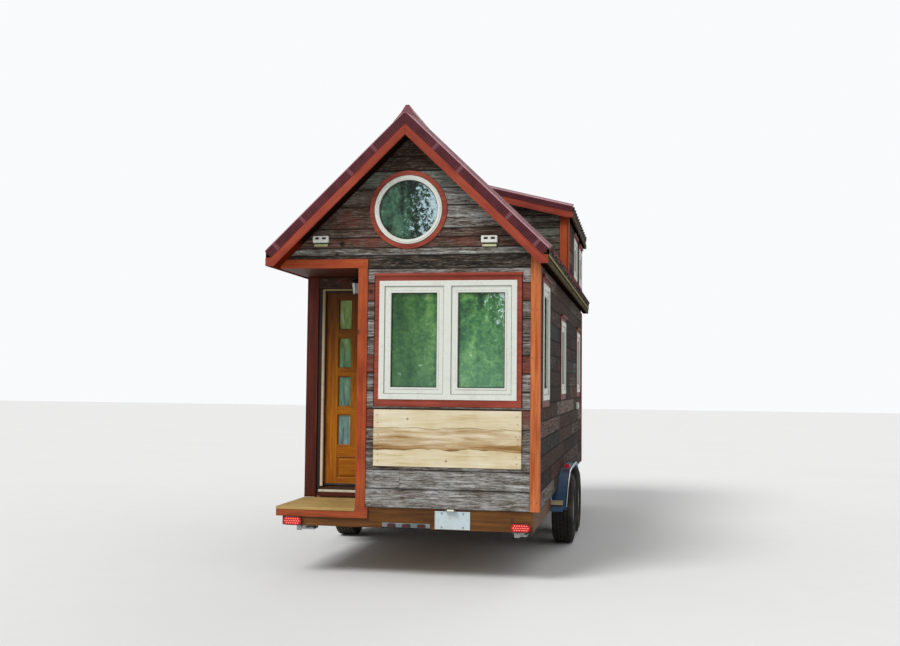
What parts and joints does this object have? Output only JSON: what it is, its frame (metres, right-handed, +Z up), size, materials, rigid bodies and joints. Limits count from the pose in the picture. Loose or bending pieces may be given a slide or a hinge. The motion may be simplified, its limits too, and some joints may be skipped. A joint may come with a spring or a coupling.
{
  "type": "tiny house on wheels",
  "caption": "Small gabled wooden house on a tandem trailer, with a recessed corner porch, ribbed metal roof, shed dormers and white framed windows.",
  "frame": {"origin": "on the ground, under the middle of the whole outline from the roof's porch end to the coupler nose", "axes": "+X to the right seen from the porch end, +Y from the porch end towards the hitch, +Z up"},
  "size_m": [2.58, 7.574, 4.0841],
  "materials": {
    "frame_steel": "satin black paint, dusty",
    "zinc": "dull zinc plating",
    "fender_steel": "polished bluish sheet",
    "rim_wood": "stained, satin",
    "deck_wood": "worn, matt",
    "red_trim": "semi-transparent red stain, satin",
    "barn_siding": "weathered boards with worn red paint",
    "roof_wood": "stained, satin",
    "roof_sheet": "burgundy enamel, semi-gloss",
    "fascia_wood": "dark stain, satin",
    "white_frame": "white, semi-gloss",
    "window_glass": "clear double glazing",
    "door_wood": "clear varnish over fir, glossy",
    "brass_hardware": "dark bronze, satin",
    "pine": "bare pine boards, matt",
    "red_lens": "red lamp lens",
    "polished": "polished plate",
    "plate_white": null,
    "white_plastic": "white moulded",
    "lantern_metal": "dark bronze paint",
    "tyre": "black rubber, dusty",
    "wheel_steel": "silver paint"
  },
  "bodies": {
    "house": {"chassis_frame": "frame_steel", "coupler": "zinc", "tongue_jack": "zinc", "stabilizer_jacks": "zinc", "axles": "frame_steel", "fender_left": "fender_steel", "fender_right": "fender_steel", "rim_boards": "rim_wood", "floor": "rim_wood", "porch_deck": "deck_wood", "porch_fascia": "red_trim", "rear_wall": "barn_siding", "rear_gable": "barn_siding", "porch_side_wall": "barn_siding", "entry_header": "barn_siding", "left_wall": "barn_siding", "right_wall": "barn_siding", "front_wall": "barn_siding", "front_gable": "barn_siding", "dormer_walls": "barn_siding", "dormer_cheeks": "barn_siding", "roof_decks": "roof_wood", "roof_metal": "roof_sheet", "dormer_decks": "roof_wood", "dormer_metal": "roof_sheet", "ridge_cap": "roof_sheet", "rake_flashing": "roof_sheet", "barge_boards": "red_trim", "eave_fascias": "fascia_wood", "corner_boards": "red_trim", "porch_header": "red_trim", "rear_window": "white_frame", "round_windows": "white_frame", "side_windows": "white_frame", "window_casings": "red_trim", "window_glass": "window_glass", "door_frame": "white_frame", "door_sill": "deck_wood", "sign_board": "pine", "tail_lamps": "red_lens", "lamp_bar": "polished", "number_plate": "plate_white", "vents": "white_plastic", "wall_lantern": "lantern_metal"},
    "door": {"door_leaf": "door_wood", "door_glass": "window_glass", "door_hardware": "brass_hardware"},
    "wheel_rear_left": {"tyre_rear_left": "tyre", "rim_rear_left": "wheel_steel"},
    "wheel_rear_right": {"tyre_rear_right": "tyre", "rim_rear_right": "wheel_steel"},
    "wheel_front_left": {"tyre_front_left": "tyre", "rim_front_left": "wheel_steel"},
    "wheel_front_right": {"tyre_front_right": "tyre", "rim_front_right": "wheel_steel"}
  },
  "joints": [
    {"name": "door_swing", "type": "hinge", "parent": "house", "child": "door", "pos_m": [-0.978, -2.751, 1.6], "axis": [0, 0, 1], "range_deg": [0, 85]},
    {"name": "wheel_rear_left_spin", "type": "hinge", "parent": "house", "child": "wheel_rear_left", "pos_m": [-1.1775, -1.123, 0.36], "axis": [1, 0, 0], "continuous": true},
    {"name": "wheel_rear_right_spin", "type": "hinge", "parent": "house", "child": "wheel_rear_right", "pos_m": [1.1775, -1.123, 0.36], "axis": [1, 0, 0], "continuous": true},
    {"name": "wheel_front_left_spin", "type": "hinge", "parent": "house", "child": "wheel_front_left", "pos_m": [-1.1775, -0.263, 0.36], "axis": [1, 0, 0], "continuous": true},
    {"name": "wheel_front_right_spin", "type": "hinge", "parent": "house", "child": "wheel_front_right", "pos_m": [1.1775, -0.263, 0.36], "axis": [1, 0, 0], "continuous": true}
  ]
}
